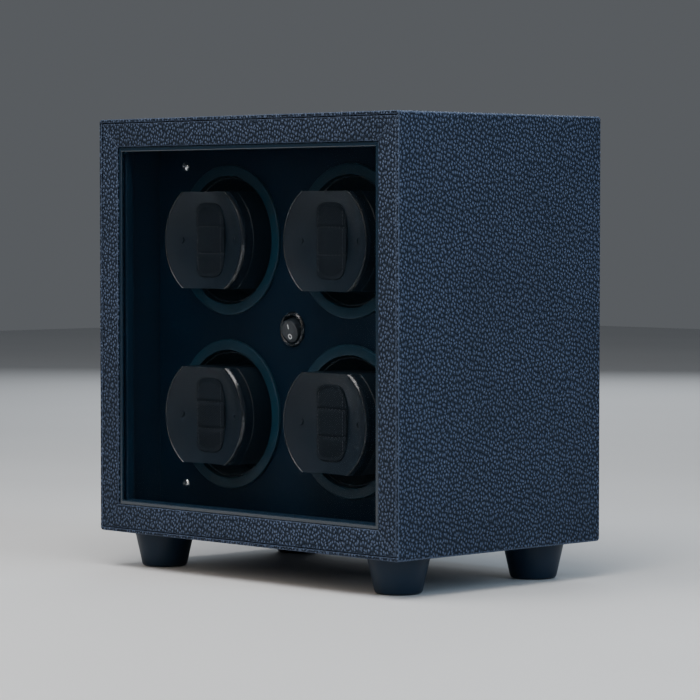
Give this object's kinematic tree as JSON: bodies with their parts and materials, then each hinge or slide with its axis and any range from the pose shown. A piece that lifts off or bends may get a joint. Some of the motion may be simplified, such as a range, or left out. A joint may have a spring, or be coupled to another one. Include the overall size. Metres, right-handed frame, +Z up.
{
  "type": "watch winder box",
  "caption": "Leather-covered cube watch winder with a hinged windowed door, turning round wells that hold watches on dished holders, a rocker switch and rubber feet.",
  "frame": {"origin": "on the supporting surface, under the middle of the case", "axes": "+X to the right seen from the front, +Y from the front to the back, +Z up; the door faces -Y"},
  "size_m": [0.264, 0.172, 0.278],
  "materials": {
    "leather": "satin pebble grain, navy",
    "satin_panel": "smooth satin, dark navy",
    "ring_gloss": "smooth semi-gloss, dark teal navy",
    "holder_plastic": "smooth semi-gloss, dark grey",
    "pad_fabric": "short-pile microfibre, dark grey",
    "black_plastic": "fine matte, black",
    "clear_pane": "clear polished sheet",
    "chrome": "polished",
    "steel": "plain rolled steel",
    "nylon": "moulded nylon, off-white",
    "circuit_board": "green solder mask",
    "rubber": "matte moulded rubber, black",
    "marking": "printed, white"
  },
  "bodies": {
    "case": {"case_top": "leather", "case_bottom": "leather", "case_left": "leather", "case_right": "leather", "case_back": "leather", "front_panel": "satin_panel", "drive_plate": "black_plastic", "latch_housing": "black_plastic", "switch_bezel": "black_plastic", "control_board": "circuit_board", "power_inlet": "black_plastic", "panel_screw_upper_left": "chrome", "panel_screw_upper_right": "chrome", "panel_screw_lower_left": "chrome", "panel_screw_lower_right": "chrome", "well_ring_upper_left": "ring_gloss", "well_ring_upper_right": "ring_gloss", "well_ring_lower_left": "ring_gloss", "well_ring_lower_right": "ring_gloss", "gearmotor_upper_left": "steel", "gearmotor_upper_right": "steel", "gearmotor_lower_left": "steel", "gearmotor_lower_right": "steel", "foot_front_left": "rubber", "foot_front_right": "rubber", "foot_rear_left": "rubber", "foot_rear_right": "rubber"},
    "door": {"door_rail_top": "leather", "door_rail_bottom": "leather", "door_stile_left": "leather", "door_stile_right": "leather", "door_pane": "clear_pane", "pane_trim": "black_plastic", "door_pivot_top": "steel", "door_pivot_bottom": "steel", "latch_strike": "steel"},
    "rotor_upper_left": {"rotor_cup_upper_left": "satin_panel", "rotor_gear_upper_left": "nylon"},
    "rotor_upper_right": {"rotor_cup_upper_right": "satin_panel", "rotor_gear_upper_right": "nylon"},
    "rotor_lower_left": {"rotor_cup_lower_left": "satin_panel", "rotor_gear_lower_left": "nylon"},
    "rotor_lower_right": {"rotor_cup_lower_right": "satin_panel", "rotor_gear_lower_right": "nylon"},
    "watch_holder_upper_left": {"holder_upper_left": "holder_plastic", "holder_pad_upper_left": "pad_fabric"},
    "watch_holder_upper_right": {"holder_upper_right": "holder_plastic", "holder_pad_upper_right": "pad_fabric"},
    "watch_holder_lower_left": {"holder_lower_left": "holder_plastic", "holder_pad_lower_left": "pad_fabric"},
    "watch_holder_lower_right": {"holder_lower_right": "holder_plastic", "holder_pad_lower_right": "pad_fabric"},
    "pinion_upper_left": {"motor_pinion_upper_left": "nylon"},
    "pinion_upper_right": {"motor_pinion_upper_right": "nylon"},
    "pinion_lower_left": {"motor_pinion_lower_left": "nylon"},
    "pinion_lower_right": {"motor_pinion_lower_right": "nylon"},
    "rocker": {"switch_rocker": "black_plastic"},
    "plunger": {"latch_plunger": "black_plastic"}
  },
  "joints": [
    {"name": "door_hinge", "type": "hinge", "parent": "case", "child": "door", "pos_m": [-0.1239, -0.0832, 0.15], "axis": [0, 0, -1], "range_deg": [0, 110]},
    {"name": "rotor_spin_upper_left", "type": "hinge", "parent": "case", "child": "rotor_upper_left", "pos_m": [-0.0535, -0.026, 0.2035], "axis": [0, 1, 0], "continuous": true},
    {"name": "pinion_spin_upper_left", "type": "hinge", "parent": "case", "child": "pinion_upper_left", "pos_m": [-0.0895, -0.0135, 0.2035], "axis": [0, 1, 0], "continuous": true},
    {"name": "holder_slide_upper_left", "type": "slide", "parent": "rotor_upper_left", "child": "watch_holder_upper_left", "axis": [0, -1, 0], "range_m": [0, 0.01]},
    {"name": "rotor_spin_upper_right", "type": "hinge", "parent": "case", "child": "rotor_upper_right", "pos_m": [0.0535, -0.026, 0.2035], "axis": [0, 1, 0], "continuous": true},
    {"name": "pinion_spin_upper_right", "type": "hinge", "parent": "case", "child": "pinion_upper_right", "pos_m": [0.0895, -0.0135, 0.2035], "axis": [0, 1, 0], "continuous": true},
    {"name": "holder_slide_upper_right", "type": "slide", "parent": "rotor_upper_right", "child": "watch_holder_upper_right", "axis": [0, -1, 0], "range_m": [0, 0.01]},
    {"name": "rotor_spin_lower_left", "type": "hinge", "parent": "case", "child": "rotor_lower_left", "pos_m": [-0.0535, -0.026, 0.0965], "axis": [0, 1, 0], "continuous": true},
    {"name": "pinion_spin_lower_left", "type": "hinge", "parent": "case", "child": "pinion_lower_left", "pos_m": [-0.0895, -0.0135, 0.0965], "axis": [0, 1, 0], "continuous": true},
    {"name": "holder_slide_lower_left", "type": "slide", "parent": "rotor_lower_left", "child": "watch_holder_lower_left", "axis": [0, -1, 0], "range_m": [0, 0.01]},
    {"name": "rotor_spin_lower_right", "type": "hinge", "parent": "case", "child": "rotor_lower_right", "pos_m": [0.0535, -0.026, 0.0965], "axis": [0, 1, 0], "continuous": true},
    {"name": "pinion_spin_lower_right", "type": "hinge", "parent": "case", "child": "pinion_lower_right", "pos_m": [0.0895, -0.0135, 0.0965], "axis": [0, 1, 0], "continuous": true},
    {"name": "holder_slide_lower_right", "type": "slide", "parent": "rotor_lower_right", "child": "watch_holder_lower_right", "axis": [0, -1, 0], "range_m": [0, 0.01]},
    {"name": "rocker_tilt", "type": "hinge", "parent": "case", "child": "rocker", "pos_m": [0.003, -0.0457, 0.15], "axis": [-1, 0, 0], "range_deg": [0, 31]},
    {"name": "plunger_press", "type": "slide", "parent": "case", "child": "plunger", "axis": [0, 1, 0], "range_m": [0, 0.0015], "stiffness_N_per_m": 400, "springref_m": -0.004}
  ],
  "couplings": [
    {"joint": "pinion_spin_upper_left", "follows": "rotor_spin_upper_left", "ratio": -3},
    {"joint": "pinion_spin_upper_right", "follows": "rotor_spin_upper_right", "ratio": -3},
    {"joint": "pinion_spin_lower_left", "follows": "rotor_spin_lower_left", "ratio": -3},
    {"joint": "pinion_spin_lower_right", "follows": "rotor_spin_lower_right", "ratio": -3}
  ]
}
